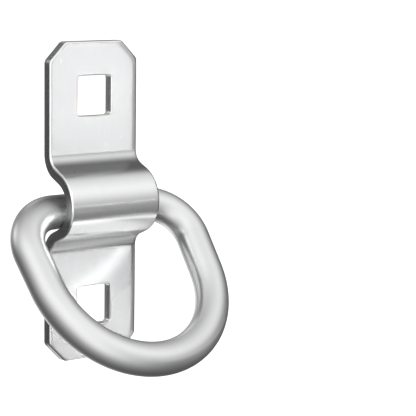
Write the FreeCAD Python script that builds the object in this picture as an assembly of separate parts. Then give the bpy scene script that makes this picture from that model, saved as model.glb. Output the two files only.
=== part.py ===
"""Bolt-on D ring tie-down: a bent mounting strap and the round-bar D ring that swings in it.

The part hangs as it does on a wall. X runs along the ring's straight bar, +Z is up along the
strap, and the mounting face is the plane Y = 0. The strap bulges towards -Y, away from the wall.
The origin lies on the mounting face, halfway between the two square holes.
Depths are measured from the mounting face outwards, so a depth of 5 is Y = -5.
"""

import FreeCAD, Part

import math
import os

# Mounting strap, bent from one flat bar
STRAP_LENGTH = 89.5
STRAP_WIDTH = 29.6
STRAP_THICKNESS = 3.0
CORNER_CUT = 5.2
CORNER_CUT_BLEND = 1.8
FRONT_EDGE_BREAK = 0.45
BACK_EDGE_BREAK = 0.15

# Square holes for carriage bolts
HOLE_SIDE = 11.2
HOLE_SPACING = 59.2
HOLE_CORNER_RADIUS = 1.0
HOLE_EDGE_BREAK = 0.3

# Hump over the ring's bar
FOOT_BEND_RADIUS = 4.0
FLANK_LENGTH = 3.2
BAR_RADIAL_PLAY = 2.05
BAR_DEPTH_PLAY = 1.6

# D ring, bent from one round bar and welded shut in the middle of its straight side
BAR_DIAMETER = 9.5
RING_SIDE_PLAY = 0.5
RING_CORNER_RADIUS = 12.0
RING_LEG_LENGTH = 10.5
RING_LEG_TAPER = 3.2

# How the ring sits: small gaps to the wall and to the hump's lower inside, and its swing outwards
WALL_GAP = 0.2
SEAT_GAP = 0.2
RING_SWING = 40.0

# Sizes that follow
BAR_RADIUS = BAR_DIAMETER / 2
HUMP_INNER_RADIUS = BAR_RADIUS + BAR_RADIAL_PLAY
HUMP_OUTER_RADIUS = HUMP_INNER_RADIUS + STRAP_THICKNESS
HUMP_CENTRE_DEPTH = BAR_DIAMETER + BAR_DEPTH_PLAY - HUMP_INNER_RADIUS
BAR_DEPTH = BAR_RADIUS + WALL_GAP
BAR_DROP = math.sqrt((BAR_RADIAL_PLAY - SEAT_GAP) ** 2 - (BAR_DEPTH - HUMP_CENTRE_DEPTH) ** 2)
BAR_HALF_LENGTH = STRAP_WIDTH / 2 + RING_SIDE_PLAY


def point(depth, height, across=0.0):
    """Return the point at a depth outwards from the wall, a height and a distance across."""
    return FreeCAD.Vector(across, -depth, height)


def flank_angle():
    """Return the angle between the flanks' outward normals and the wall's normal, in radians.

    A flank is tangent to the foot bend and to the hump's arc and keeps its own straight length.
    """
    reach = HUMP_OUTER_RADIUS + FOOT_BEND_RADIUS
    rise = STRAP_THICKNESS + FOOT_BEND_RADIUS - HUMP_CENTRE_DEPTH
    return math.acos(rise / math.hypot(reach, FLANK_LENGTH)) - math.atan2(FLANK_LENGTH, reach)


def foot_height(angle):
    """Return the height at which the flat tab ends and the foot bend starts."""
    reach = HUMP_OUTER_RADIUS + FOOT_BEND_RADIUS
    return reach * math.sin(angle) + FLANK_LENGTH * math.cos(angle)


def surface_edges(offset):
    """Return the edges of one surface of the bent bar, from the top end to the bottom end.

    The offset is how far the surface lies behind the strap's front: zero for the front itself and
    the thickness for the back, so both surfaces share their bend centres.
    """
    angle = flank_angle()
    foot = foot_height(angle)
    tab_depth = STRAP_THICKNESS - offset
    foot_radius = FOOT_BEND_RADIUS + offset
    hump_radius = HUMP_OUTER_RADIUS - offset
    foot_centre_depth = STRAP_THICKNESS + FOOT_BEND_RADIUS

    def foot_point(turn, side):
        depth = foot_centre_depth - foot_radius * math.cos(turn)
        return point(depth, side * (foot - foot_radius * math.sin(turn)))

    def hump_point(turn):
        return point(HUMP_CENTRE_DEPTH + hump_radius * math.cos(turn), hump_radius * math.sin(turn))

    top = point(tab_depth, STRAP_LENGTH / 2)
    bottom = point(tab_depth, -STRAP_LENGTH / 2)
    return [
        Part.LineSegment(top, foot_point(0, 1)).toShape(),
        Part.Arc(foot_point(0, 1), foot_point(angle / 2, 1), foot_point(angle, 1)).toShape(),
        Part.LineSegment(foot_point(angle, 1), hump_point(angle)).toShape(),
        Part.Arc(hump_point(angle), hump_point(0), hump_point(-angle)).toShape(),
        Part.LineSegment(hump_point(-angle), foot_point(angle, -1)).toShape(),
        Part.Arc(foot_point(angle, -1), foot_point(angle / 2, -1), foot_point(0, -1)).toShape(),
        Part.LineSegment(foot_point(0, -1), bottom).toShape(),
    ]


def bent_bar():
    """Return the bent bar as a solid: its side profile pushed across the strap's width."""
    front = surface_edges(0.0)
    back = surface_edges(STRAP_THICKNESS)
    ends = [
        Part.LineSegment(front[0].Vertexes[0].Point, back[0].Vertexes[0].Point).toShape(),
        Part.LineSegment(front[-1].Vertexes[-1].Point, back[-1].Vertexes[-1].Point).toShape(),
    ]
    outline = Part.Wire(Part.__sortEdges__(front + back + ends))
    profile = Part.Face(outline)
    profile.translate(FreeCAD.Vector(-STRAP_WIDTH / 2, 0, 0))
    return profile.extrude(FreeCAD.Vector(STRAP_WIDTH, 0, 0))


def upright_edges(solid):
    """Return the straight edges of a plan solid that run at right angles to the wall."""
    return [
        edge for edge in solid.Edges
        if edge.Length > 0 and abs(abs(edge.tangentAt(edge.FirstParameter).y) - 1) < 1e-6
    ]


def plan_outline():
    """Return a deep block with the strap's plan: a rectangle whose corners are cut and blended."""
    half_width = STRAP_WIDTH / 2
    half_length = STRAP_LENGTH / 2
    depth = HUMP_CENTRE_DEPTH + HUMP_OUTER_RADIUS
    margin = STRAP_THICKNESS
    corners = [
        (half_width, half_length - CORNER_CUT),
        (half_width - CORNER_CUT, half_length),
        (-half_width + CORNER_CUT, half_length),
        (-half_width, half_length - CORNER_CUT),
        (-half_width, -half_length + CORNER_CUT),
        (-half_width + CORNER_CUT, -half_length),
        (half_width - CORNER_CUT, -half_length),
        (half_width, -half_length + CORNER_CUT),
    ]
    points = [point(-margin, height, across) for across, height in corners]
    face = Part.Face(Part.makePolygon(points + points[:1]))
    block = face.extrude(FreeCAD.Vector(0, -(depth + 2 * margin), 0))
    return block.makeFillet(CORNER_CUT_BLEND, upright_edges(block))


def square_hole(height):
    """Return the punch that makes one square hole, centred at the given height."""
    margin = STRAP_THICKNESS
    size = FreeCAD.Vector(HOLE_SIDE, STRAP_THICKNESS + 2 * margin, HOLE_SIDE)
    corner = point(STRAP_THICKNESS + margin, height - HOLE_SIDE / 2, -HOLE_SIDE / 2)
    punch = Part.makeBox(size.x, size.y, size.z, corner)
    return punch.makeFillet(HOLE_CORNER_RADIUS, upright_edges(punch))


def edges_on(solid, surface):
    """Return the outline edges of one bent surface, without the bend lines that cross it."""
    path = Part.Wire(surface)
    foot = foot_height(flank_angle())
    near = 1e-4
    found = []
    for edge in solid.Edges:
        middle = edge.valueAt((edge.FirstParameter + edge.LastParameter) / 2)
        ends = [vertex.Point for vertex in edge.Vertexes]
        on_surface = all(
            path.distToShape(Part.Vertex(0, place.y, place.z))[0] < near for place in ends + [middle]
        )
        bend_line = abs(ends[0].z - ends[-1].z) < near and abs(middle.z) < foot + near
        if on_surface and not bend_line:
            found.append(edge)
    return found


def is_at_hole(edge):
    """Tell whether an outline edge belongs to one of the square holes."""
    box = edge.BoundBox
    reach = HOLE_SIDE / 2 + HOLE_EDGE_BREAK
    near_middle = max(abs(box.XMin), abs(box.XMax)) < reach
    near_hole = abs(abs(box.Center.z) - HOLE_SPACING / 2) < reach
    return near_middle and near_hole


def build_mounting_strap():
    """Return the strap: the bent bar with its corners cut, its holes punched and its edges broken."""
    strap = bent_bar().common(plan_outline())
    for height in (-HOLE_SPACING / 2, HOLE_SPACING / 2):
        strap = strap.cut(square_hole(height))
    breaks = [
        (0.0, FRONT_EDGE_BREAK, HOLE_EDGE_BREAK),
        (STRAP_THICKNESS, BACK_EDGE_BREAK, BACK_EDGE_BREAK),
    ]
    for offset, outline_break, hole_break in breaks:
        outline = [edge for edge in edges_on(strap, surface_edges(offset)) if not is_at_hole(edge)]
        strap = strap.makeChamfer(outline_break, outline)
        holes = [edge for edge in edges_on(strap, surface_edges(offset)) if is_at_hole(edge)]
        strap = strap.makeChamfer(hole_break, holes)
    return strap


def ring_point(across, reach):
    """Return the point of the ring's plane at a distance across and a reach from the bar's axis."""
    swing = math.radians(RING_SWING)
    return point(BAR_DEPTH + reach * math.sin(swing), -BAR_DROP - reach * math.cos(swing), across)


def ring_path():
    """Return the ring's closed centreline: bar, two corners, two tapering legs, one closing bend."""
    taper = math.radians(RING_LEG_TAPER)
    leg_top_across = BAR_HALF_LENGTH + RING_CORNER_RADIUS * math.cos(taper)
    leg_top_reach = RING_CORNER_RADIUS * (1 + math.sin(taper))
    leg_end_across = leg_top_across - RING_LEG_LENGTH * math.sin(taper)
    leg_end_reach = leg_top_reach + RING_LEG_LENGTH * math.cos(taper)
    bend_radius = leg_end_across / math.cos(taper)
    bend_bottom_reach = leg_end_reach + bend_radius * (1 - math.sin(taper))
    middle_turn = (math.pi / 2 + taper) / 2
    corner_across = BAR_HALF_LENGTH + RING_CORNER_RADIUS * math.sin(middle_turn)
    corner_reach = RING_CORNER_RADIUS * (1 - math.cos(middle_turn))

    def side_edges(side):
        bar_end = ring_point(side * BAR_HALF_LENGTH, 0)
        corner = ring_point(side * corner_across, corner_reach)
        leg_top = ring_point(side * leg_top_across, leg_top_reach)
        leg_end = ring_point(side * leg_end_across, leg_end_reach)
        return [Part.Arc(bar_end, corner, leg_top).toShape(), Part.LineSegment(leg_top, leg_end).toShape()]

    bar = Part.LineSegment(ring_point(-BAR_HALF_LENGTH, 0), ring_point(BAR_HALF_LENGTH, 0)).toShape()
    closing_bend = Part.Arc(
        ring_point(leg_end_across, leg_end_reach),
        ring_point(0, bend_bottom_reach),
        ring_point(-leg_end_across, leg_end_reach),
    ).toShape()
    return Part.Wire(Part.__sortEdges__([bar, closing_bend] + side_edges(1) + side_edges(-1)))


def build_d_ring():
    """Return the ring: its round bar swept once around the closed centreline."""
    section = Part.makeCircle(BAR_RADIUS, ring_point(-BAR_HALF_LENGTH, 0), FreeCAD.Vector(1, 0, 0))
    return ring_path().makePipeShell([Part.Wire(section)], True, True)


def main():
    """Write each piece to its own STEP file in the parts folder."""
    os.makedirs("parts", exist_ok=True)
    nodes = {
        "mounting_strap": build_mounting_strap(),
        "d_ring": build_d_ring(),
    }
    for name, shape in nodes.items():
        shape.exportStep(f"parts/{name}.step")
        box = shape.BoundBox
        print(name, "valid", shape.isValid(), "solids", len(shape.Solids), "volume", round(shape.Volume, 1))
        print("  x", round(box.XMin, 2), round(box.XMax, 2), "y", round(box.YMin, 2), round(box.YMax, 2),
              "z", round(box.ZMin, 2), round(box.ZMax, 2))


main()
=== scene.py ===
"""Bolt on D ring tie down: a bent zinc plated strap with two square holes, and the D ring in its hump.

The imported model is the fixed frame. The strap and the ring are shown by finer surfaces of the same sizes,
worked out in metres in the same frame: X across the strap, Z up along it, and the wall face in Y = 0.
"""

import logging
from dataclasses import dataclass, field
from enum import Enum
from typing import Any, Mapping, Sequence

import bmesh
import bpy
import numpy as np
from mathutils import Matrix, Vector


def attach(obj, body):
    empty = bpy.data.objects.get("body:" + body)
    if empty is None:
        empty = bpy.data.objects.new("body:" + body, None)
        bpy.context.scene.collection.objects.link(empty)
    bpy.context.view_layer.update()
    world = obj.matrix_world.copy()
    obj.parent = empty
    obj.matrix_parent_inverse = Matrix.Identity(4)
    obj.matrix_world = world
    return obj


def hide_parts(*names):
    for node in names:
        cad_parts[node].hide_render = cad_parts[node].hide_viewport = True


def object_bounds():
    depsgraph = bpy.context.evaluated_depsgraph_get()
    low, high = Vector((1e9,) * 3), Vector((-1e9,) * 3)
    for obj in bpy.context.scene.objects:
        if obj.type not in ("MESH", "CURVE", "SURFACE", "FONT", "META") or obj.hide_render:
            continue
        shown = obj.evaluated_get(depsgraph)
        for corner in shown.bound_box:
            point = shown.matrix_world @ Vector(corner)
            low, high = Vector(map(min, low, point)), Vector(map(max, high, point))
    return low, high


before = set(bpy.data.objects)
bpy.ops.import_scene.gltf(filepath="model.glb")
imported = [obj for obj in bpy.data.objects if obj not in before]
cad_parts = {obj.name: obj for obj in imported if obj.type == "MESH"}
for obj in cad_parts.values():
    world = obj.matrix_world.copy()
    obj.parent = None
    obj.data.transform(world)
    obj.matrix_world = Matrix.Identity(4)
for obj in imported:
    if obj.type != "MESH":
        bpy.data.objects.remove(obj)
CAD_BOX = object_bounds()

LOG = logging.getLogger("tie_down")
MM = 0.001
UV_PER_METRE = 100.0
PHOTO_PIXELS = 416
SEEN_RAYS = ("Camera", "Glossy", "Transmission")
EIGHTH_TURN = np.pi / 4.0
QUARTER_TURN = np.pi / 2.0
FULL_TURN = 2.0 * np.pi


class Body(Enum):
    """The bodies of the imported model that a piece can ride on."""

    STRAP = "strap"
    RING = "ring"


class Mark(Enum):
    """Named values that a surface carries for its finish."""

    EDGE = "edge_wear"
    WALL = "cut_wall"
    DEPTH = "wall_depth"
    BEND = "bend_strain"
    WELD = "weld_band"
    # painted shade: darkens the bends' hollows, the strap's edge faces and right edge, and the ring's crook
    # by the hump
    PAINTED_SHADE = "bend_hollow"
    GLOW = "cloth_glow"


PIECE_MARKS = (Mark.EDGE, Mark.WALL, Mark.DEPTH, Mark.BEND, Mark.WELD, Mark.PAINTED_SHADE)


def smooth_step(low: float, high: float, value: np.ndarray) -> np.ndarray:
    """Rise from 0 at low to 1 at high: three times the square less twice the cube."""
    share = np.clip((value - low) / (high - low), 0.0, 1.0)
    return share * share * (3.0 - 2.0 * share)


def soft_least(first: np.ndarray, second: np.ndarray, blend: float) -> np.ndarray:
    """The lesser of two, its crease blended: half their sum less the root of their squared gap."""
    return 0.5 * (first + second - np.sqrt((first - second) ** 2 + blend**2))


def crowded(count: int, crowding: float) -> np.ndarray:
    """Steps from -1 to 1, crowded at both ends: the sine of even angles up to the crowding, scaled to 1."""
    return np.sin(crowding * np.linspace(-1.0, 1.0, count)) / np.sin(crowding)


def walked(line: np.ndarray) -> np.ndarray:
    """How far along a line each of its points is: the running sum of the gaps between them."""
    return np.concatenate([[0.0], np.cumsum(np.linalg.norm(np.diff(line, axis=0), axis=1))])


def arrows(angle: np.ndarray) -> np.ndarray:
    """Unit arrows in a plane: the cosine and sine of each angle."""
    return np.stack([np.cos(angle), np.sin(angle)], axis=-1)


@dataclass
class Patch:
    """A sheet of points on a grid, with its UV and marks.

    Its faces point along the second way crossed with the first, or the other way where it is turned over.
    """

    points: np.ndarray
    uv: np.ndarray
    marks: Mapping[Mark, np.ndarray] = field(default_factory=dict)
    turned_over: bool = False

    def faces(self, first: int) -> np.ndarray:
        """Number the corners of each square of the grid.

        Args:
            first: The number of the patch's first point in the whole piece.

        Returns:
            One row of four point numbers for each face.
        """
        rows, columns = self.points.shape[:2]
        index = np.arange(rows * columns).reshape(rows, columns) + first
        corners = [index[:-1, :-1], index[:-1, 1:], index[1:, 1:], index[1:, :-1]]
        if self.turned_over:
            corners.reverse()
        return np.stack(corners, axis=-1).reshape(-1, 4)

    def mark(self, name: Mark) -> np.ndarray:
        """The mark's value at each point, or 0 where the patch has none."""
        return np.broadcast_to(self.marks.get(name, 0.0), self.points.shape[:2]).reshape(-1)


def laid_out(name: str, patches: Sequence[Patch], marks: Sequence[Mark]) -> bpy.types.Object:
    """Put patches into one smooth mesh with their UV and marks, and hang it in the scene at the origin.

    Args:
        name: The object's name.
        patches: The patches.
        marks: The marks that the finish reads.

    Returns:
        The object.
    """
    starts = np.cumsum([0] + [patch.points[..., 0].size for patch in patches])
    points = np.concatenate([patch.points.reshape(-1, 3) for patch in patches])
    uv = np.concatenate([patch.uv.reshape(-1, 2) for patch in patches])
    faces = np.concatenate([patch.faces(start) for patch, start in zip(patches, starts)])
    mesh = bpy.data.meshes.new(name)
    mesh.from_pydata(points.tolist(), [], faces.tolist())
    layer = mesh.uv_layers.new(name="surface")
    layer.data.foreach_set("uv", uv[faces.reshape(-1)].astype(np.float32).reshape(-1))
    for mark in marks:
        values = np.concatenate([patch.mark(mark) for patch in patches]).astype(np.float32)
        mesh.attributes.new(mark.value, "FLOAT", "POINT").data.foreach_set("value", values)
    mesh.shade_smooth()
    shown = bpy.data.objects.new(name, mesh)
    bpy.context.scene.collection.objects.link(shown)
    return shown


@dataclass(frozen=True)
class Piece:
    """One shown object: its patches are joined along their shared edges into a closed surface."""

    name: str
    body: Body
    node: str
    slot: str
    weld_distance: float = 0.5e-6

    def build(self, patches: Sequence[Patch], material: bpy.types.Material) -> bpy.types.Object:
        """Join the patches into a dressed mesh that rides on its body and stands for its node.

        Args:
            patches: The patches, whose shared edges have the same points.
            material: The piece's finish.

        Returns:
            The object, in the frame's metres.
        """
        piece = laid_out(self.name, patches, PIECE_MARKS)
        self.join_seams(piece.data)
        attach(piece, self.body.value)
        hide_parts(self.node)
        piece.data.materials.append(material)
        return piece

    def join_seams(self, mesh: bpy.types.Mesh) -> None:
        """Merge the points that neighbouring patches share.

        Args:
            mesh: The mesh to close, changed in place.
        """
        work = bmesh.new()
        work.from_mesh(mesh)
        bmesh.ops.remove_doubles(work, verts=work.verts[:], dist=self.weld_distance)
        open_edges = sum(1 for edge in work.edges if not edge.is_manifold)
        work.to_mesh(mesh)
        work.free()
        LOG.info("%s: %d open edges", self.name, open_edges)


@dataclass(frozen=True)
class Signal:
    """One output of a shader node. Arithmetic on it adds Math nodes."""

    bench: "ShaderBench"
    socket: bpy.types.NodeSocket

    def joined(self, operation: str, first: Any, second: Any, clamp: bool = False) -> "Signal":
        """The result of a Math node on two signals or numbers, held between 0 and 1 where it is clamped."""
        settings = {"operation": operation, "use_clamp": clamp}
        return self.bench.add("ShaderNodeMath", settings, {0: first, 1: second}, "Value")

    def __add__(self, other: Any) -> "Signal":
        """This plus other, or other plus this."""
        return self.joined("ADD", self, other)

    def __sub__(self, other: Any) -> "Signal":
        """This less other."""
        return self.joined("SUBTRACT", self, other)

    def __rsub__(self, other: Any) -> "Signal":
        """Other less this."""
        return self.joined("SUBTRACT", other, self)

    def __mul__(self, other: Any) -> "Signal":
        """This times other, or other times this."""
        return self.joined("MULTIPLY", self, other)

    __radd__, __rmul__ = __add__, __mul__

    def greatest(self, other: Any) -> "Signal":
        """The greater of this and other."""
        return self.joined("MAXIMUM", self, other)

    def held(self) -> "Signal":
        """This, held between 0 and 1."""
        return self.joined("ADD", self, 0.0, clamp=True)

    def ramp(self, low: float, high: float) -> "Signal":
        """Rise smoothly from 0 to 1 as this goes from low to high."""
        inputs = {"Value": self, "From Min": low, "From Max": high}
        return self.bench.add("ShaderNodeMapRange", {"interpolation_type": "SMOOTHSTEP"}, inputs, "Result")


@dataclass(frozen=True)
class ShaderBench:
    """The node tree of one material or world, and the one method that adds nodes to it."""

    tree: bpy.types.NodeTree

    def node(self, kind: str, settings: Mapping[str, Any], inputs: Mapping[Any, Any]) -> bpy.types.Node:
        """Add a node, with its settings made first and its sockets filled next.

        Args:
            kind: The node's type name.
            settings: Values of the node's own properties.
            inputs: Values or signals by socket name or number.

        Returns:
            The node.
        """
        made = self.tree.nodes.new(kind)
        for name, value in settings.items():
            setattr(made, name, value)
        for name, value in inputs.items():
            if isinstance(value, Signal):
                self.tree.links.new(value.socket, made.inputs[name])
            else:
                made.inputs[name].default_value = value
        return made

    def add(self, kind: str, settings: Mapping[str, Any], inputs: Mapping[Any, Any], output: Any) -> Signal:
        """Add a node, and give the output of that name or number."""
        return Signal(self, self.node(kind, settings, inputs).outputs[output])

    def mark(self, name: Mark) -> Signal:
        """The value of a mark that the surface carries."""
        return self.add("ShaderNodeAttribute", {"attribute_name": name.value}, {}, "Fac")

    def noise(self, place: Signal, scale: float, detail: float, roughness: float) -> Signal:
        """Cloudy noise from 0 to 1: its clouds for each unit, its finer layers, and how strong they are."""
        inputs = {"Vector": place, "Scale": scale, "Detail": detail, "Roughness": roughness}
        return self.add("ShaderNodeTexNoise", {"noise_dimensions": "3D"}, inputs, "Fac")

    def clouds(self, fineness: float, detail: float = 2.0, roughness: float = 0.5) -> Signal:
        """Noise in space, which reads Object coordinates: its clouds in a metre, and its finer layers."""
        return self.noise(self.add("ShaderNodeTexCoord", {}, {}, "Object"), fineness, detail, roughness)

    def streaks(
        self, fineness: Sequence[float], detail: float = 2.0, roughness: float = 0.5, turn: float = 0.0
    ) -> Signal:
        """Noise along the surface, which reads the piece's own UV map in centimetres.

        Args:
            fineness: Its clouds in a centimetre along each way of the surface.
            detail: How many finer layers are added.
            roughness: How strong the finer layers are.
            turn: The turn of its ways, in degrees.

        Returns:
            The noise, from 0 to 1.
        """
        surface = self.add("ShaderNodeUVMap", {"uv_map": "surface"}, {}, "UV")
        inputs = {"Vector": surface, "Rotation": (0.0, 0.0, np.radians(turn)), "Scale": (*fineness, 1.0)}
        place = self.add("ShaderNodeMapping", {"vector_type": "POINT"}, inputs, "Vector")
        return self.noise(place, 1.0, detail, roughness)

    def blend(self, share: Any, first: Any, second: Any) -> Signal:
        """Mix two colours: the share says how much of the second one shows."""
        inputs = {"Factor": share, 6: first, 7: second}
        return self.add("ShaderNodeMix", {"data_type": "RGBA", "blend_type": "MIX"}, inputs, 2)

    def scaled(self, colour: Any, scale: Signal) -> Signal:
        """A colour times a scale."""
        return self.add("ShaderNodeVectorMath", {"operation": "SCALE"}, {0: colour, "Scale": scale}, "Vector")

    def relief(self, height: Signal) -> Signal:
        """The normal of a surface with that height in metres."""
        return self.add("ShaderNodeBump", {}, {"Height": height, "Distance": 1.0, "Strength": 1.0}, "Normal")

    def seen_rays(self) -> Signal:
        """1 for what the camera sees directly, in metal or through glass, and 0 for light alone."""
        rays = [self.add("ShaderNodeLightPath", {}, {}, f"Is {kind} Ray") for kind in SEEN_RAYS]
        return rays[0].greatest(rays[1]).greatest(rays[2])


def grey(level: float, warmth: float = 0.0) -> tuple[float, float, float, float]:
    """A grey of a linear level, with its red raised and its blue lowered by the share of warmth."""
    return (level * (1.0 + warmth), level, level * (1.0 - warmth), 1.0)


def empty_material(name: str) -> tuple[bpy.types.Material, ShaderBench]:
    """Make a material that has no nodes yet.

    Args:
        name: The material's name.

    Returns:
        The material and its bench.
    """
    material = bpy.data.materials.new(name)
    material.use_nodes = True
    material.node_tree.nodes.clear()
    return material, ShaderBench(material.node_tree)


@dataclass(frozen=True)
class ZincFinish:
    """Bright zinc plating over steel: cloudy grey metal with fine lines, scratches and worn edges.

    Shades are shares of the colour, depths are in metres, and fineness is how many clouds stand in a unit.
    """

    name: str
    level: float
    worn_level: float
    roughness: float
    cloud_shade: float
    grain: tuple[float, float]
    grain_depth: float
    scratch_depth: float
    warmth: float = 0.004
    cloud_fineness: float = 55.0
    spangle_fineness: float = 420.0
    wear_fineness: float = 900.0
    wear_floor: float = 0.55
    wear_swing: float = 0.9
    line_shade: float = 0.05
    # how much the painted shade mark darkens the colour
    painted_shade_strength: float = 0.8
    # what clouds, spangle, lines, scratches, wear and the painted shade mask add to the roughness
    rough_shares: tuple[float, ...] = (0.06, 0.04, 0.05, 0.10, -0.05, 0.06)
    # the slant of each set of scratches in degrees, and how fine they are
    scratch_slants: tuple[tuple[float, float], ...] = ((24.0, 46.0), (-38.0, 60.0), (71.0, 38.0))
    weld_grain: tuple[float, float] = (30.0, 1.5)
    weld_shade: float = 0.10
    weld_depth: float = 4.0e-6
    cut_shade: float = 0.06
    cut_roughness: float = 0.06
    streak_shade: float = 0.10
    streak_depth: float = 6.0e-6
    torn_from: float = 0.50
    torn_to: float = 0.60
    torn_sway: float = 0.16
    torn_shade: float = 0.10
    torn_roughness: float = 0.12
    torn_depth: float = 14.0e-6
    peel_fineness: float = 1500.0
    peel_depth: float = 0.6e-6

    def material(self) -> bpy.types.Material:
        """Make the plating's material.

        Returns:
            The material.
        """
        material, bench = empty_material(self.name)
        clouds = bench.clouds(self.cloud_fineness, 4.0, 0.6) - 0.5
        spangle = bench.clouds(self.spangle_fineness, 2.0, 0.55) - 0.5
        lines = bench.streaks(self.grain, 3.0, 0.6) - 0.5
        scratches = self.scratches(bench)
        patchy = self.wear_floor + self.wear_swing * bench.clouds(self.wear_fineness, 3.0, 0.6)
        wear = (bench.mark(Mark.EDGE) * patchy).held()
        cut_shade, cut_rough, cut_height = self.cut_wall(bench)
        strain_rough, strain_height = self.strain(bench)
        painted_dark, weld = bench.mark(Mark.PAINTED_SHADE), bench.mark(Mark.WELD)
        dressed = bench.streaks(self.weld_grain, 2.0, 0.6)

        shade = 1.0 + self.cloud_shade * (clouds + 0.5 * spangle) + self.line_shade * (lines - scratches)
        # painted shade: this mark's darkening stands in for shade in the bends' hollows, on the strap's edges
        # and where the ring runs into the hump
        shade = shade - cut_shade - self.painted_shade_strength * painted_dark - self.weld_shade * weld
        tone = bench.blend(wear, grey(self.level, -self.warmth), grey(self.worn_level, self.warmth))
        rough = self.roughness + cut_rough + strain_rough + weld * (0.04 + 0.10 * dressed)
        for share, pattern in zip(self.rough_shares, (clouds, spangle, lines, scratches, wear, painted_dark)):
            rough = rough + share * pattern
        height = self.grain_depth * (lines + 0.5 * spangle) - self.scratch_depth * scratches
        height = height + cut_height + strain_height + weld * (self.weld_depth * dressed)
        inputs = {
            "Base Color": bench.scaled(tone, shade),
            "Metallic": 1.0,
            "Roughness": rough.held(),
            "Normal": bench.relief(height),
        }
        metal = bench.add("ShaderNodeBsdfPrincipled", {}, inputs, "BSDF")
        bench.node("ShaderNodeOutputMaterial", {}, {"Surface": metal})
        return material

    def scratches(self, bench: ShaderBench) -> Signal:
        """Thin, broken scratches: the crests of noise drawn out along each slant, cut into stretches.

        Args:
            bench: The material's bench.

        Returns:
            How deep the scratches are, from 0 to 1.
        """
        total = None
        for turn, fine in self.scratch_slants:
            crest = bench.streaks((fine, 1.1), 0.0, turn=turn).ramp(0.735, 0.775)
            stretch = bench.streaks((2.2, 2.2), 1.0, turn=turn).ramp(0.52, 0.64)
            line = crest * stretch
            total = line if total is None else total.greatest(line)
        return total

    def cut_wall(self, bench: ShaderBench) -> tuple[Signal, Signal, Signal]:
        """What a punched or sheared wall adds: a smooth streaked upper band and a rough torn lower band.

        Args:
            bench: The material's bench.

        Returns:
            The darkening, the added roughness and the height in metres.
        """
        wall = bench.mark(Mark.WALL)
        streaks = bench.streaks((34.0, 3.0), 3.0, 0.6)
        sway = self.torn_sway * (bench.streaks((7.0, 0.5)) - 0.5)
        torn = (bench.mark(Mark.DEPTH) + sway).ramp(self.torn_from, self.torn_to)
        grit = bench.streaks((42.0, 42.0), 3.0, 0.65)
        shade = wall * (self.cut_shade + self.torn_shade * torn + self.streak_shade * (streaks - 0.5))
        rough = wall * (self.cut_roughness + self.torn_roughness * torn)
        height = wall * (self.streak_depth * streaks + torn * (self.torn_depth * grit))
        return shade, rough, height

    def strain(self, bench: ShaderBench) -> tuple[Signal, Signal]:
        """What bending adds: roughness, and the height in metres of an orange peel."""
        bend, peel = bench.mark(Mark.BEND), bench.clouds(self.peel_fineness)
        return bend * (0.01 + 0.02 * peel), bend * (self.peel_depth * peel)


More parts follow.
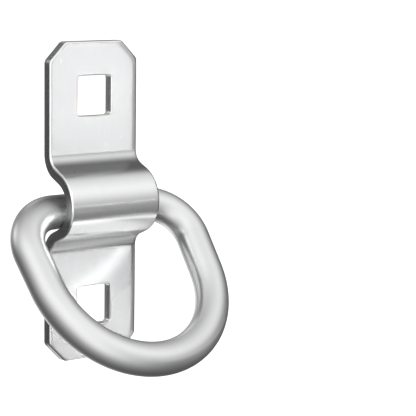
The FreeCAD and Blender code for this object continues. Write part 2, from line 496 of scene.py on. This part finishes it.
@dataclass
class MountingStrap:
    """The bent strap: a flat blank with two square holes and cut corners, bent to a hump with two flanks.

    A point of the blank is given by x across, s along the front face from the crest, and the depth below it.
    """

    length: float = 89.5 * MM
    width: float = 29.6 * MM
    thickness: float = 3.0 * MM
    corner_cut: float = 5.2 * MM
    corner_blend: float = 1.8 * MM
    front_edge_round: float = 0.55 * MM
    back_edge_round: float = 0.18 * MM
    hole_side: float = 11.2 * MM
    hole_spacing: float = 59.2 * MM
    hole_corner: float = 1.0 * MM
    hole_edge_round: float = 0.3 * MM
    hole_break_out: float = 0.05 * MM
    crest_depth: float = 4.3 * MM
    crest_radius: float = 9.8 * MM
    foot_radius: float = 4.0 * MM
    flank_length: float = 3.2 * MM
    shear_roll_width: float = 3.0 * MM
    shear_roll_depth: float = 0.5 * MM
    shear_roll_power: float = 4.6
    shear_roll_hump_share: float = 0.3
    shear_corner_blend: float = 0.8 * MM
    # each band of painted shade in the bends' hollows: its place along the front face, its half width, and
    # how strong it is
    painted_shade_bands: tuple[tuple[float, float, float], ...] = (
        (13.4 * MM, 3.9 * MM, 1.0),
        (-16.2 * MM, 2.4 * MM, 0.55),
    )
    # how strongly painted shade darkens the cut walls of the outer edge
    edge_face_shade: float = 0.60
    # the shares of the half width between which painted shade comes in over the right edge
    right_roll_shade: tuple[float, float] = (0.7, 0.9)
    # the shares of the front edge's radius over which the look of a cut wall comes in
    wall_fade: tuple[float, float] = (0.35, 0.02)
    edge_wear_reach: float = 0.5 * MM
    bend_fade: float = 2.0 * MM
    point_spacing: float = 0.36 * MM
    column_count: int = 73
    column_crowding: float = 1.25
    tab_steps: int = 22
    round_steps: int = 9
    hole_round_steps: int = 7
    finish: ZincFinish = ZincFinish(
        name="zinc plated strap",
        level=0.80,
        worn_level=0.86,
        roughness=0.17,
        cloud_shade=0.05,
        grain=(26.0, 0.7),
        grain_depth=0.5e-6,
        scratch_depth=1.2e-6,
    )

    def __post_init__(self) -> None:
        """Work out the flank's slope and where each run of the profile ends."""
        reach = self.crest_radius + self.foot_radius
        rise = self.thickness + self.foot_radius - self.crest_depth
        lean = np.arctan2(self.flank_length, reach)
        self.slope = np.arccos(rise / np.hypot(reach, self.flank_length)) - lean
        self.crest_end = self.crest_radius * self.slope
        self.flank_end = self.crest_end + self.flank_length
        self.foot_end = self.flank_end + self.foot_radius * self.slope
        self.foot_height = reach * np.sin(self.slope) + self.flank_length * np.cos(self.slope)
        self.blank_end = self.foot_end + 0.5 * self.length - self.foot_height
        self.hole_place = self.foot_end + 0.5 * self.hole_spacing - self.foot_height

    def front(self, s: np.ndarray) -> tuple[np.ndarray, np.ndarray, np.ndarray]:
        """Follow the front face: an arc over the crest, a straight flank, a hollow arc, then flat.

        Args:
            s: Places along the front face from the crest, below 0 on the lower half.

        Returns:
            The distance from the wall, the height, and the slope angle of the face's normal.
        """
        way = np.abs(s)
        crest = np.minimum(way, self.crest_end) / self.crest_radius
        flank = np.clip(way - self.crest_end, 0.0, self.flank_length)
        foot = np.clip(way - self.flank_end, 0.0, self.foot_end - self.flank_end) / self.foot_radius
        foot_out = np.cos(self.slope) - np.cos(self.slope - foot)
        foot_up = np.sin(self.slope) - np.sin(self.slope - foot)
        out = self.crest_depth + self.crest_radius * np.cos(crest) - flank * np.sin(self.slope)
        out = out + self.foot_radius * foot_out
        up = self.crest_radius * np.sin(crest) + flank * np.cos(self.slope)
        up = up + self.foot_radius * foot_up + np.maximum(way - self.foot_end, 0.0)
        return out, up * np.sign(s), (crest - foot) * np.sign(s)

    def shear_roll(self, flat: np.ndarray) -> np.ndarray:
        """How far the shear drew the front face down beside the right edge and its cut corners.

        The drop is the roll's depth times a power of how near the edge is, as a share of the roll's width.

        Args:
            flat: Places in x and s.

        Returns:
            The drop of the front face.
        """
        x, s = flat[..., 0], flat[..., 1]
        beside = 0.5 * self.width - x
        corner_sum = 0.5 * self.width + self.blank_end - self.corner_cut
        beyond = (corner_sum - x - np.abs(s)) / np.sqrt(2.0)
        gap = soft_least(beside, beyond, self.shear_corner_blend)
        near = np.clip(1.0 - gap / self.shear_roll_width, 0.0, 1.0)
        on_tab = smooth_step(self.crest_end, self.foot_end, np.abs(s))
        share = self.shear_roll_hump_share + (1.0 - self.shear_roll_hump_share) * on_tab
        return self.shear_roll_depth * share * near**self.shear_roll_power

    def placed(self, flat: np.ndarray, depth: np.ndarray) -> np.ndarray:
        """Bend the blank: each point lies on the front face less its depth along the face's normal.

        The shear roll's drop adds to the depth, and fades out towards the wall face.

        Args:
            flat: Places in x and s.
            depth: Depths below the front face before the roll.

        Returns:
            The points in the frame.
        """
        depth = depth + self.shear_roll(flat) * (1.0 - depth / self.thickness)
        out, up, angle = self.front(flat[..., 1])
        return np.stack([flat[..., 0], depth * np.cos(angle) - out, up - depth * np.sin(angle)], axis=-1)

    def edge_nearness(self, flat: np.ndarray) -> np.ndarray:
        """How near an outer edge or a hole's edge is: e to the power of minus the gap over the wear's reach.

        Args:
            flat: Places in x and s.

        Returns:
            The nearness, from 0 to 1.
        """
        side, way = np.abs(flat[..., 0]), np.abs(flat[..., 1])
        outer = np.minimum(0.5 * self.width - side, self.blank_end - way)
        corner = 0.5 * self.width + self.blank_end - self.corner_cut - side - way
        outer = np.minimum(outer, corner / np.sqrt(2.0))
        hole = np.maximum(side, np.abs(way - self.hole_place)) - 0.5 * self.hole_side
        return np.exp(-np.minimum(np.abs(outer), np.abs(hole)) / self.edge_wear_reach)

    def half_run(self, length: float) -> int:
        """How many steps of about the point spacing a run takes, four at least."""
        return max(4, int(round(length / self.point_spacing)))

    def columns(self, inset: float) -> np.ndarray:
        """Places across a face, crowded towards both edge rounds, which start that far in."""
        return (0.5 * self.width - inset) * crowded(self.column_count, self.column_crowding)

    def rows(self) -> np.ndarray:
        """Places along the front face from one foot to the other."""
        return np.linspace(-self.foot_end, self.foot_end, 2 * self.half_run(self.foot_end) + 1)

    def tab_outline(self) -> tuple[np.ndarray, np.ndarray]:
        """The upper tab's outline from the right foot up, across the end and down to the left foot.

        Straight runs meet in arcs of the corner blend's radius.

        Returns:
            The outline's places in x and s, and its outward directions.
        """
        half, end, cut = 0.5 * self.width, self.blank_end, self.corner_cut
        right = [[half, self.foot_end], [half, end - cut], [half - cut, end]]
        corners = np.array(right + [[-x, s] for x, s in reversed(right)])
        headings = np.diff(corners, axis=0)
        headings = headings / np.linalg.norm(headings, axis=1, keepdims=True)
        normals = np.stack([headings[:, 1], -headings[:, 0]], axis=-1)
        trim = self.corner_blend * np.tan(0.5 * EIGHTH_TURN)
        turn = np.linspace(0.0, EIGHTH_TURN, self.round_steps)[1:-1, None]
        places, outward = [], []
        start = corners[0]
        for number, (heading, normal) in enumerate(zip(headings, normals), start=1):
            corner, last = corners[number], number == len(headings)
            stop = corner if last else corner - trim * heading
            share = np.linspace(0.0, 1.0, self.half_run(np.linalg.norm(stop - start)) + 1)[:, None]
            places.append(start + share * (stop - start))
            outward.append(np.broadcast_to(normal, (len(share), 2)))
            if not last:
                ray = np.cos(turn) * normal + np.sin(turn) * heading
                places.append(stop + self.corner_blend * (ray - normal))
                outward.append(ray)
                start = corner + trim * headings[number]
        return np.concatenate(places), np.concatenate(outward)

    def square_radius(self, angle: np.ndarray, growth: np.ndarray) -> np.ndarray:
        """How far the hole's rounded square lies from its centre in each direction.

        A straight side is half a side over the cosine. A corner is where the ray meets the corner's circle.

        Args:
            angle: Directions from the hole's centre.
            growth: How much wider than the hole the square is on each side.

        Returns:
            The distances.
        """
        half = 0.5 * self.hole_side + growth
        corner = self.hole_corner + growth
        folded = np.abs(np.mod(angle + EIGHTH_TURN, QUARTER_TURN) - EIGHTH_TURN)
        middle = half - corner
        along = middle * (np.cos(folded) + np.sin(folded))
        rest = np.maximum(along**2 - 2.0 * middle**2 + corner**2, 0.0)
        return np.where(half * np.tan(folded) <= middle, half / np.cos(folded), along + np.sqrt(rest))

    def tab_loop(self, inset: float) -> np.ndarray:
        """The closed loop round the upper tab's flat: its outline drawn in, and closed along the foot.

        Args:
            inset: How far the outline is drawn in.

        Returns:
            The places in x and s, with the first one repeated at the end.
        """
        places, outward = self.tab_outline()
        foot_ends = np.isin(np.arange(len(places)), [0, len(places) - 1])[:, None]
        sideways = np.sign(outward) * [1.0, 0.0]
        outline = places - inset * np.where(foot_ends, sideways, outward)
        across = self.columns(inset)
        foot = np.stack([across, np.full(len(across), self.foot_end)], axis=-1)[1:]
        return np.concatenate([outline, foot])

    def hole_lines(self, growth: np.ndarray) -> np.ndarray:
        """Lines round the upper square hole, whose points lie on the rays to the points of the tab's loop.

        Args:
            growth: How much wider than the hole each line is on each side.

        Returns:
            The places in x and s, by point and line.
        """
        centre = np.array([0.0, self.hole_place])
        ray = self.tab_loop(self.front_edge_round) - centre
        angle = np.arctan2(ray[:, 1], ray[:, 0])[:, None]
        radius = self.square_radius(angle, growth[None, :])
        return centre + radius[..., None] * arrows(angle)

    def tab_shares(self) -> np.ndarray:
        """Shares from hole to outline, short at both ends: the running sum of a quarter plus a half wave."""
        steps = 0.25 + np.sin(np.pi * (np.arange(self.tab_steps) + 0.5) / self.tab_steps)
        return np.concatenate([[0.0], np.cumsum(steps / steps.sum())])

    def tab_flat(self, inset: float, growth: float) -> np.ndarray:
        """The upper tab's flat: a straight blend from the hole, wider by the growth, to the tab's loop."""
        hole = self.hole_lines(np.array([growth]))
        return hole + self.tab_shares()[None, :, None] * (self.tab_loop(inset)[:, None, :] - hole)

    def hump_flat(self, inset: float) -> np.ndarray:
        """The bent middle's flat: a plain grid of columns, from the inset on, and rows between the feet."""
        return np.stack(np.meshgrid(self.columns(inset), self.rows()), axis=-1)

    def face_patch(self, flat: np.ndarray, depth: float) -> Patch:
        """A patch of the front or back face with its UV and marks.

        A band of painted shade is its strength times e to the power of minus the fourth power of the gap to
        its middle.

        Args:
            flat: Places in x and s on the grid.
            depth: 0 for the front, the thickness for the back.

        Returns:
            The patch, with its faces outwards.
        """
        s = flat[..., 1]
        bend = smooth_step(self.foot_end, self.foot_end - self.bend_fade, np.abs(s))
        # painted shade in the hollows of the bends, on the front face only
        shade_parts = [share * np.exp(-(((s - place) / half) ** 4)) for place, half, share in self.painted_shade_bands]
        painted_dark = sum(shade_parts) * (depth == 0.0)
        marks = {Mark.EDGE: self.edge_nearness(flat), Mark.BEND: bend, Mark.PAINTED_SHADE: painted_dark}
        return Patch(self.placed(flat, depth), flat * UV_PER_METRE, marks, turned_over=depth > 0.0)

    def edge_section(self, front: float, steps: int, break_out: float) -> tuple[np.ndarray, np.ndarray]:
        """An edge's section: a quarter round, the cut wall that steps back where it tore, and a back round.

        Args:
            front: The radius of the front round.
            steps: How many points the front round has.
            break_out: How far the wall steps back.

        Returns:
            How far back from the wall's line each step is, and its depth.
        """
        back = self.back_edge_round
        turn = np.linspace(0.0, QUARTER_TURN, steps)
        wall = np.linspace(front, self.thickness - back, 9)[1:-1]
        torn = break_out * smooth_step(0.5 * self.thickness, 0.75 * self.thickness, wall)
        inset = [front * (1.0 - np.sin(turn)), torn, break_out + back * (1.0 - np.cos(turn[::2]))]
        depth = [front * (1.0 - np.cos(turn)), wall, self.thickness - back * (1.0 - np.sin(turn[::2]))]
        return np.concatenate(inset), np.concatenate(depth)

    def outer_edge(self) -> Patch:
        """The edge's section carried round the whole outline.

        Returns:
            The patch, with its faces outwards.
        """
        places, outward = self.tab_outline()
        rows = self.rows()[1:-1]
        up = np.stack([np.full(len(rows), 0.5 * self.width), rows], axis=-1)
        side = np.broadcast_to([1.0, 0.0], up.shape)
        path = np.concatenate([places, -up, -places, up, places[:1]])
        away = np.concatenate([outward, -side, -outward, side, outward[:1]])
        inset, depth = self.edge_section(self.front_edge_round, self.round_steps, 0.0)
        flat = path[:, None, :] - inset[None, :, None] * away[:, None, :]
        patch = self.wall_patch(flat, path, inset, depth, turned_over=False)
        # painted shade over the outer edge: on its cut walls, and over the right edge, fading towards the
        # back
        right_shade = smooth_step(*self.right_roll_shade, 2.0 * flat[..., 0] / self.width)
        shade_parts = [self.edge_face_shade * patch.marks[Mark.WALL], right_shade * (1.0 - depth / self.thickness)]
        patch.marks[Mark.PAINTED_SHADE] = np.maximum(*shade_parts)
        return patch

    def wall_patch(
        self, flat: np.ndarray, line: np.ndarray, inset: np.ndarray, depth: np.ndarray, turned_over: bool
    ) -> Patch:
        """A patch of a cut wall with its UV and marks.

        Args:
            flat: Places in x and s, by place along the edge and step of the section.
            line: The line that the section follows.
            inset: How far from the wall's line each step of the section is.
            depth: How deep each step is.
            turned_over: Whether the wall faces a hole's middle.

        Returns:
            The patch, with its faces outwards.
        """
        grid = flat.shape[:2]
        depth = np.broadcast_to(depth, grid)
        uv = np.stack([np.broadcast_to(walked(line)[:, None], grid), depth], axis=-1) * UV_PER_METRE
        slack = np.clip(inset / self.front_edge_round, 0.0, 1.0)
        wall = np.broadcast_to(smooth_step(*self.wall_fade, slack), grid)
        marks = {Mark.EDGE: 1.0 - wall, Mark.WALL: wall, Mark.DEPTH: depth / self.thickness}
        return Patch(self.placed(flat, depth), uv, marks, turned_over)

    def build(self) -> bpy.types.Object:
        """Build the strap's surface and dress it.

        Returns:
            The strap.
        """
        front, back, thick = self.front_edge_round, self.back_edge_round, self.thickness
        patches = [self.face_patch(self.hump_flat(front), 0.0), self.face_patch(self.hump_flat(back), thick)]
        patches.append(self.outer_edge())
        front_flat = self.tab_flat(front, self.hole_edge_round)
        back_flat = self.tab_flat(back, self.hole_break_out + back)
        growth, depth = self.edge_section(self.hole_edge_round, self.hole_round_steps, self.hole_break_out)
        hole = self.hole_lines(growth)
        # the lower tab is the upper one turned half round
        for turn in (1.0, -1.0):
            patches += [self.face_patch(turn * front_flat, 0.0), self.face_patch(turn * back_flat, thick)]
            patches.append(self.wall_patch(turn * hole, hole[:, 0], growth, depth, turned_over=True))
        piece = Piece("bent_strap", Body.STRAP, "mounting_strap", "zinc_strap")
        return piece.build(patches, self.finish.material())


@dataclass
class DRing:
    """The D ring: round bar bent to a D and welded shut, lying in the hump and swung forward.

    Its middle line is given by its turning: each run has a length and a radius, straight runs having none.
    """

    bar_diameter: float = 9.5 * MM
    bar_depth: float = 4.95 * MM
    bar_drop: float = 1.732 * MM
    bar_half_length: float = 15.3 * MM
    corner_radius: float = 12.0 * MM
    leg_length: float = 10.5 * MM
    leg_taper: float = 3.2
    swing: float = 40.0
    weld_half_width: float = 2.2 * MM
    # painted shade where the bar runs into the hump, on one side: its middle before the weld, its half width,
    # and the cosines round the bar between which its outer side starts
    crook_place: float = 14.0 * MM
    crook_half_width: float = 9.0 * MM
    crook_side: tuple[float, float] = (-0.8, 0.5)
    steps_along: int = 640
    steps_around: int = 72
    finish: ZincFinish = ZincFinish(
        name="zinc plated ring",
        level=0.76,
        worn_level=0.81,
        roughness=0.31,
        cloud_shade=0.06,
        grain=(0.8, 30.0),
        grain_depth=0.6e-6,
        scratch_depth=1.5e-6,
    )

    def __post_init__(self) -> None:
        """Work out the length and turning of each run, from the middle of the bar all the way round."""
        corner = QUARTER_TURN + np.radians(self.leg_taper)
        corner_out = self.corner_radius * np.sin(corner)
        leg_end = self.bar_half_length + corner_out + self.leg_length * np.cos(corner)
        closing_radius = leg_end / np.sin(corner)
        half = [self.bar_half_length, self.corner_radius * corner, self.leg_length]
        self.runs = np.array(half + [closing_radius * (FULL_TURN - 2.0 * corner)] + half[::-1])
        bends = [0.0, 1.0 / self.corner_radius, 0.0]
        self.turning = np.array(bends + [1.0 / closing_radius] + bends[::-1])
        self.total = float(self.runs.sum())

    def followed(self, way: np.ndarray) -> tuple[np.ndarray, np.ndarray, np.ndarray]:
        """Follow the middle line: the heading turns evenly along each run, and the place is its integral.

        Args:
            way: Lengths along the middle line from the middle of the bar.

        Returns:
            The places across and away from the bar, the headings, and the turning there.
        """
        starts = np.concatenate([[0.0], np.cumsum(self.runs)])
        headings = np.concatenate([[0.0], np.cumsum(self.runs * self.turning)])
        moves = self.advance(headings[:-1], self.turning, self.runs)
        corners = np.concatenate([[[0.0, 0.0]], np.cumsum(moves, axis=0)])
        run = np.clip(np.searchsorted(starts, way, side="right") - 1, 0, len(self.runs) - 1)
        gone = way - starts[run]
        place = corners[run] + self.advance(headings[run], self.turning[run], gone)
        return place, headings[run] + self.turning[run] * gone, self.turning[run]

    def advance(self, heading: np.ndarray, turning: np.ndarray, gone: np.ndarray) -> np.ndarray:
        """The move along an arc or a straight: its chord has the mean heading and the sine law's length."""
        half_turn = 0.5 * turning * gone
        return (gone * np.sinc(half_turn / np.pi))[:, None] * arrows(heading + half_turn)

    def surface(self) -> Patch:
        """Carry the bar's circle round the D.

        Returns:
            The patch, with its faces outwards.
        """
        way = np.linspace(0.0, self.total, self.steps_along + 1)
        around = np.linspace(0.0, FULL_TURN, self.steps_around + 1)
        place, heading, turning = self.followed(way)
        swing = np.radians(self.swing)
        across = np.array([1.0, 0.0, 0.0])
        away = np.array([0.0, -np.sin(swing), -np.cos(swing)])
        centre = np.array([0.0, -self.bar_depth, -self.bar_drop])
        middle = centre + place[:, :1] * across + place[:, 1:] * away
        outward = np.sin(heading)[:, None] * across - np.cos(heading)[:, None] * away
        upright = np.sin(around)[None, :, None] * np.cross(across, away)
        spoke = np.cos(around)[None, :, None] * outward[:, None, :] + upright
        radius = 0.5 * self.bar_diameter
        points = middle[:, None, :] + radius * spoke
        uv = np.stack(np.meshgrid(way, radius * around, indexing="ij"), axis=-1) * UV_PER_METRE
        before_weld = self.total - way
        weld = np.exp(-((np.minimum(way, before_weld) / self.weld_half_width) ** 4))
        # painted shade on the bar's outer side where it runs into the hump, on one side only
        crook_shade = np.exp(-(((before_weld - self.crook_place) / self.crook_half_width) ** 2))
        marks = {
            Mark.PAINTED_SHADE: crook_shade[:, None] * smooth_step(*self.crook_side, np.cos(around)),
            Mark.BEND: (turning * self.corner_radius)[:, None],
            Mark.WELD: weld[:, None],
        }
        return Patch(points, uv, marks, turned_over=True)

    def build(self) -> bpy.types.Object:
        """Build the ring's surface and dress it."""
        piece = Piece("swinging_ring", Body.RING, "d_ring", "zinc_ring")
        return piece.build([self.surface()], self.finish.material())


@dataclass(frozen=True)
class Bearing:
    """A direction and distance from an aimed point, in degrees from the front towards the right, and up."""

    side: float
    up: float
    distance: float = 1.0
    aim: tuple[float, float, float] = (0.0, 0.0, 0.0)

    def ray(self) -> np.ndarray:
        """The direction as a unit vector."""
        side, up = np.radians(self.side), np.radians(self.up)
        return np.array([np.sin(side) * np.cos(up), -np.cos(side) * np.cos(up), np.sin(up)])

    def facing(self) -> Matrix:
        """The place of a lamp there that shines at the aimed point."""
        ray = Vector(self.ray())
        turned = ray.to_track_quat("Z", "Y").to_matrix().to_4x4()
        return Matrix.Translation(Vector(self.aim) + ray * self.distance) @ turned


@dataclass(frozen=True)
class Softbox:
    """A soft area lamp that lights one piece. Its level is what a mirror would show of it.

    Its grid narrows its beam, and a lamp that isn't mirrored is sampled as a lamp only.
    """

    name: str
    lit_piece: str
    level: float
    width: float
    height: float
    bearing: Bearing
    beam: float = 180.0
    mirrored: bool = True

    def build(self) -> None:
        """Hang the lamp, and keep its light to its piece."""
        lamp = bpy.data.lights.new(self.name, "AREA")
        lamp.shape = "RECTANGLE"
        lamp.size, lamp.size_y = self.width, self.height
        half = np.radians(0.5 * self.beam)
        grid = 1.0 - half / np.tan(half)
        lamp.energy = self.level * grid * np.pi * self.width * self.height
        lamp.spread = 2.0 * half
        lamp.cycles.use_multiple_importance_sampling = self.mirrored
        box = bpy.data.objects.new(self.name, lamp)
        box.matrix_world = self.bearing.facing()
        box.visible_camera = False
        bpy.context.scene.collection.objects.link(box)
        lit = bpy.data.collections.new(self.name)
        lit.objects.link(bpy.data.objects[self.lit_piece])
        box.light_linking.receiver_collection = lit
        box.light_linking.blocker_collection = lit
        LOG.info("studio: %s", self.name)


@dataclass(frozen=True)
class Glow:
    """A soft bright place on the tent, at that bearing: its level falls away with the angle from there."""

    side: float
    up: float
    reach: float
    level: float

    def on(self, rays: np.ndarray) -> np.ndarray:
        """The glow along unit vectors: the level times e to the cosine less 1 over the reach squared."""
        nearness = rays @ Bearing(self.side, self.up).ray() - 1.0
        return self.level * np.exp(nearness / np.radians(self.reach) ** 2)


@dataclass(frozen=True)
class LightTent:
    """The cloth that the object's metal mirrors: a wide dome and a wide mat, both brighter in places."""

    radius: float = 8.0
    rim: float = -0.12
    dome_steps: int = 48
    mat_radius: float = 5.7
    mat_height: float = -0.101
    mat_steps: int = 64
    mat_crowding: float = 2.5
    steps_around: int = 96
    middle: tuple[float, float, float] = (0.0, -0.015, 0.0)
    base: float = 0.06
    glows: tuple[Glow, ...] = (
        Glow(-20.0, 32.0, 36.0, 0.95),
        Glow(-30.0, -20.0, 22.0, 0.70),
        Glow(-85.0, 38.0, 26.0, 0.70),
        Glow(44.0, 32.0, 21.0, 0.62),
        Glow(98.0, 60.0, 24.0, 0.50),
        Glow(168.0, -5.0, 11.0, 1.10),
        Glow(172.0, -42.0, 16.0, 1.20),
        Glow(60.0, -24.0, 18.0, 0.12),
        Glow(-150.0, 58.0, 24.0, 0.15),
        Glow(-147.0, 22.0, 9.0, 1.40),
        Glow(157.0, 35.0, 10.0, 1.10),
    )

    def build(self) -> None:
        """Hang the dome and lay the mat.

        The dome blocks the light of the surroundings. Only metal sees the mat, so the floor keeps its shadow.
        """
        rise = np.linspace(self.rim, QUARTER_TURN, self.dome_steps)
        self.turned("light_dome", self.radius * np.cos(rise), self.radius * np.sin(rise))
        out = self.mat_radius * np.linspace(0.0, 1.0, self.mat_steps) ** self.mat_crowding
        mat = self.turned("dark_mat", out, np.full(self.mat_steps, self.mat_height))
        mat.visible_shadow = False
        mat.visible_diffuse = False
        LOG.info("studio: dome and mat")

    def turned(self, name: str, out: np.ndarray, up: np.ndarray) -> bpy.types.Object:
        """Carry a section round the upright axis, mark how bright each point is, and stage the cloth.

        A point's brightness is the base and every glow, by its direction from the middle.

        Args:
            name: The cloth's name.
            out: How far from the axis each step of the section is.
            up: How high it is.

        Returns:
            The cloth.
        """
        around = np.linspace(0.0, FULL_TURN, self.steps_around + 1)[:, None]
        offset = np.stack([out * np.sin(around), -out * np.cos(around), up + 0.0 * around], axis=-1)
        rays = offset / np.linalg.norm(offset, axis=-1, keepdims=True)
        marks = {Mark.GLOW: self.base + sum(glow.on(rays) for glow in self.glows)}
        cloth = laid_out(name, [Patch(self.middle + offset, offset[..., :2], marks)], [Mark.GLOW])
        cloth.data.materials.append(self.cloth())
        cloth.visible_camera = False
        return cloth

    def cloth(self) -> bpy.types.Material:
        """Cloth that glows as bright as its mark says, and that metal finds by its own reflections alone.

        Returns:
            The material.
        """
        material, bench = empty_material("tent cloth")
        material.cycles.emission_sampling = "NONE"
        shine = bench.scaled((1.0, 1.0, 1.0), bench.mark(Mark.GLOW))
        glow = bench.add("ShaderNodeEmission", {}, {"Color": shine, "Strength": 1.0}, "Emission")
        bench.node("ShaderNodeOutputMaterial", {}, {"Surface": glow})
        return material


@dataclass(frozen=True)
class Studio:
    """The pale floor, the white surroundings, the tent, the lamps and the camera."""

    floor_gap: float = 60.0 * MM
    floor_size: float = 17.0
    floor_swell: float = 0.5 * MM
    floor_waves: float = 2.0
    floor_steps: int = 40
    floor_glow: float = 0.72
    camera_place: tuple[float, float, float] = (-0.294902, -0.427281, 0.0745138)
    camera_yaw: float = 38.341
    camera_pitch: float = 8.389
    camera_roll: float = 0.774
    focal_pixels: float = 1859.94
    sensor: float = 36.0
    tent: LightTent = LightTent()
    softboxes: tuple[Softbox, ...] = (
        Softbox(
            "upper tab box", "bent_strap", 1.20, 0.042, 0.047,
            Bearing(34.6, -5.0, 0.12, (0.0, -0.003, 0.029)), 14.0, False,
        ),
        Softbox(
            "lower tab box", "bent_strap", 1.17, 0.042, 0.052,
            Bearing(34.6, -11.0, 0.12, (0.0, -0.003, -0.035)), 14.0, False,
        ),
        Softbox(
            "low bounce", "bent_strap", 0.50, 0.120, 0.044, Bearing(84.0, -62.0, 0.09, (0.0, -0.012, -0.008))
        ),
        Softbox(
            "low fill", "bent_strap", 0.42, 0.120, 0.050, Bearing(84.0, -50.0, 0.09, (0.0, -0.012, -0.008))
        ),
        Softbox("left strip", "bent_strap", 1.5, 0.29, 0.50, Bearing(-75.0, -5.0, 0.40)),
        Softbox("ring fill", "swinging_ring", 0.22, 0.62, 0.27, Bearing(58.0, -16.0, 0.50)),
        Softbox(
            "corner glint", "swinging_ring", 1.7, 0.010, 0.009,
            Bearing(87.0, 9.0, 0.0193, (-0.023, -0.0125, -0.005)), 180.0, False,
        ),
    )

    def light(self) -> None:
        """Put up the tent, hang every lamp and fill in the surroundings."""
        self.tent.build()
        for box in self.softboxes:
            box.build()
        self.surroundings()

    def surroundings(self) -> None:
        """A white world to the camera and to the metal, and a softer one as light on everything."""
        world = bpy.data.worlds.new("white studio")
        world.use_nodes = True
        world.node_tree.nodes.clear()
        world.cycles.sampling_method = "NONE"
        bench = ShaderBench(world.node_tree)
        soft, white = [
            bench.add("ShaderNodeBackground", {}, {"Color": grey(level), "Strength": level}, "Background")
            for level in (0.8, 1.0)
        ]
        mixed = bench.add("ShaderNodeMixShader", {}, {0: bench.seen_rays(), 1: soft, 2: white}, "Shader")
        bench.node("ShaderNodeOutputWorld", {}, {"Surface": mixed})
        bpy.context.scene.world = world

    def lay_floor(self) -> None:
        """Lay the floor below the object: a wide sheet with a very slight swell, so that it is no dead plane.

        The swell is its height times 1 less the product of two cosines.
        """
        side = np.linspace(-0.5, 0.5, self.floor_steps + 1) * self.floor_size
        x, y = np.meshgrid(side, side, indexing="ij")
        swell = self.floor_swell * (1.0 - np.cos(self.floor_waves * x) * np.cos(self.floor_waves * y))
        points = np.stack([x, y, CAD_BOX[0][2] - self.floor_gap - swell], axis=-1)
        floor = laid_out("studio_floor", [Patch(points, points[..., :2], turned_over=True)], [])
        floor.data.materials.append(self.floor_material())

    def floor_material(self) -> bpy.types.Material:
        """Matt white paper that keeps shadows and looks white to the camera and in the metal.

        Returns:
            The material.
        """
        material, bench = empty_material("white paper")
        tone = bench.blend(bench.clouds(60.0, 4.0, 0.6), grey(0.80), grey(0.84))
        paper = bench.add("ShaderNodeBsdfPrincipled", {}, {"Base Color": tone, "Roughness": 0.9}, "BSDF")
        inputs = {"Color": grey(1.0), "Strength": self.floor_glow}
        glow = bench.add("ShaderNodeEmission", {}, inputs, "Emission")
        bright = bench.add("ShaderNodeAddShader", {}, {0: paper, 1: glow}, "Shader")
        shown = bench.add("ShaderNodeMixShader", {}, {0: bench.seen_rays(), 1: paper, 2: bright}, "Shader")
        bench.node("ShaderNodeOutputMaterial", {}, {"Surface": shown})
        return material

    def set_camera(self) -> None:
        """Stand the camera where the photograph was taken: yaw from straight ahead, pitch down, then roll."""
        yaw, pitch, roll = np.radians([self.camera_yaw, self.camera_pitch, self.camera_roll])
        ahead = Vector((np.sin(yaw) * np.cos(pitch), np.cos(yaw) * np.cos(pitch), -np.sin(pitch)))
        level = Vector((np.cos(yaw), -np.sin(yaw), 0.0))
        right = level * float(np.cos(roll)) + level.cross(ahead) * float(np.sin(roll))
        lens = bpy.data.cameras.new("camera")
        lens.sensor_fit = "HORIZONTAL"
        lens.sensor_width = self.sensor
        lens.lens = self.focal_pixels * self.sensor / PHOTO_PIXELS
        lens.clip_start = 0.02
        lens.clip_end = 50.0
        camera = bpy.data.objects.new("camera", lens)
        turned = Matrix((right, right.cross(ahead), -ahead)).transposed().to_4x4()
        camera.matrix_world = Matrix.Translation(Vector(self.camera_place)) @ turned
        bpy.context.scene.collection.objects.link(camera)
        bpy.context.scene.camera = camera


def write_sizes() -> None:
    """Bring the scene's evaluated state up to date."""
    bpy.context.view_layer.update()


def main() -> None:
    """Build the studio and the two pieces, and report each."""
    logging.basicConfig(level=logging.INFO, format="%(name)s: %(message)s")
    bpy.context.scene.view_settings.view_transform = "Standard"
    studio = Studio()
    studio.set_camera()
    LOG.info("camera: set")
    studio.lay_floor()
    LOG.info("floor: laid")
    for part in (MountingStrap(), DRing()):
        piece = part.build()
        LOG.info("%s: %d faces", piece.name, len(piece.data.polygons))
    studio.light()
    write_sizes()


if __name__ == "__main__":
    main()
